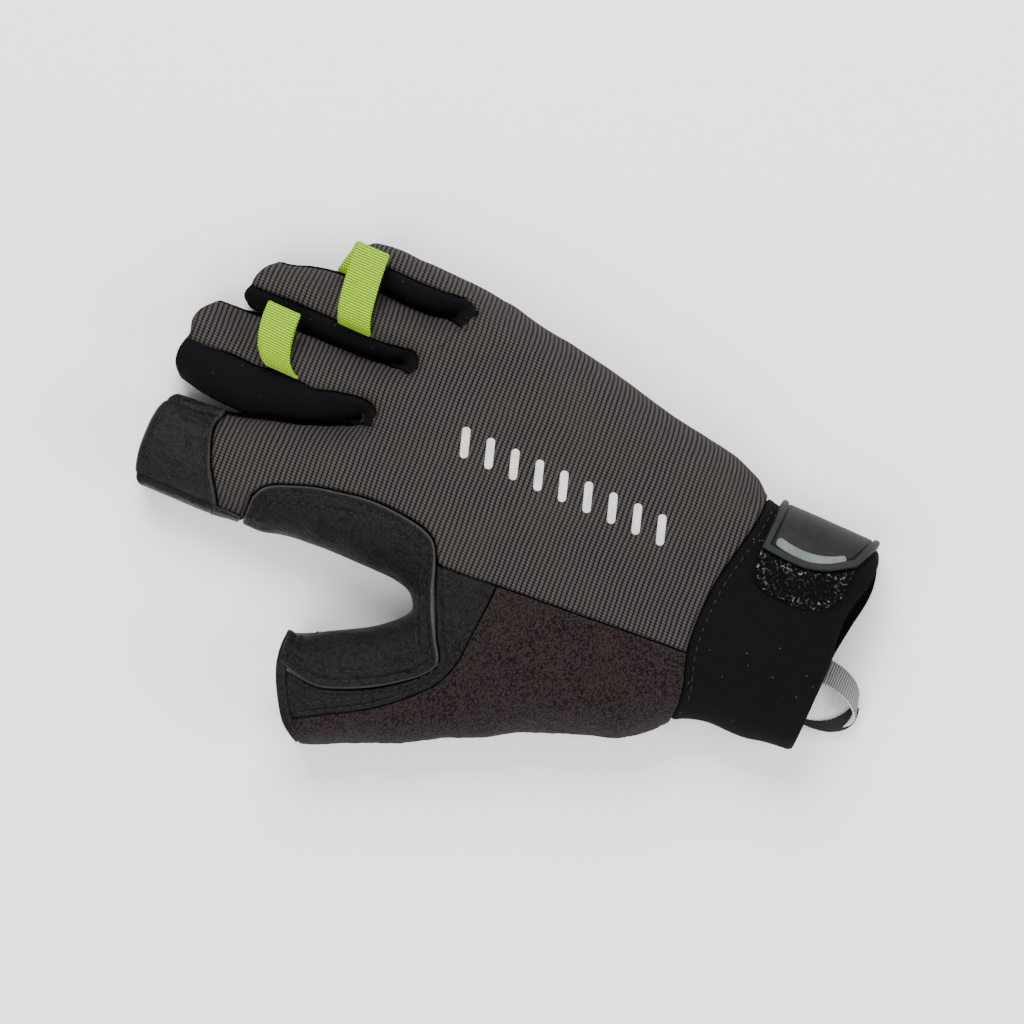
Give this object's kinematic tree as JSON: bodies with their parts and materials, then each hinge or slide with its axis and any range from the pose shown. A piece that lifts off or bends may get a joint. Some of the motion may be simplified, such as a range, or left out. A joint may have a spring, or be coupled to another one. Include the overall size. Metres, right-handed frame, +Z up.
{
  "type": "climbing glove",
  "caption": "Right-hand half-finger climbing glove with a knit back, leather palm, wrist closure and tape pull loops, lying palm down.",
  "frame": {"origin": "on the resting face under the middle of the palm", "axes": "+X across the hand towards the little finger side, +Y along the fingers, +Z up through the back of the hand"},
  "size_m": [0.1403, 0.2203, 0.0326],
  "materials": {
    "knit": "ribbed grey knit",
    "leather": "matt grained",
    "gusset": "black stretch fabric",
    "terry": "short terry pile",
    "neoprene": "laminated neoprene",
    "fuzz": "looped pile",
    "rubber": "moulded, satin",
    "stripe": "moulded, satin",
    "tape": "woven tape",
    "green_tape": "woven tape"
  },
  "bodies": {
    "root": {"back_panel": "knit", "index_cap": "leather", "gusset_index_middle": "gusset", "gusset_middle_ring": "gusset", "gusset_ring_little": "gusset", "crotch_patch": "leather", "crotch_base": "leather", "thumb_back": "terry", "thumb_palm": "leather", "palm_panel": "leather", "cuff": "neoprene", "loop_pad": "fuzz", "strap_tab": "rubber", "tab_stripe": "stripe", "hang_loop": "tape", "pull_loop_middle": "green_tape", "pull_loop_ring": "green_tape"}
  },
  "joints": []
}
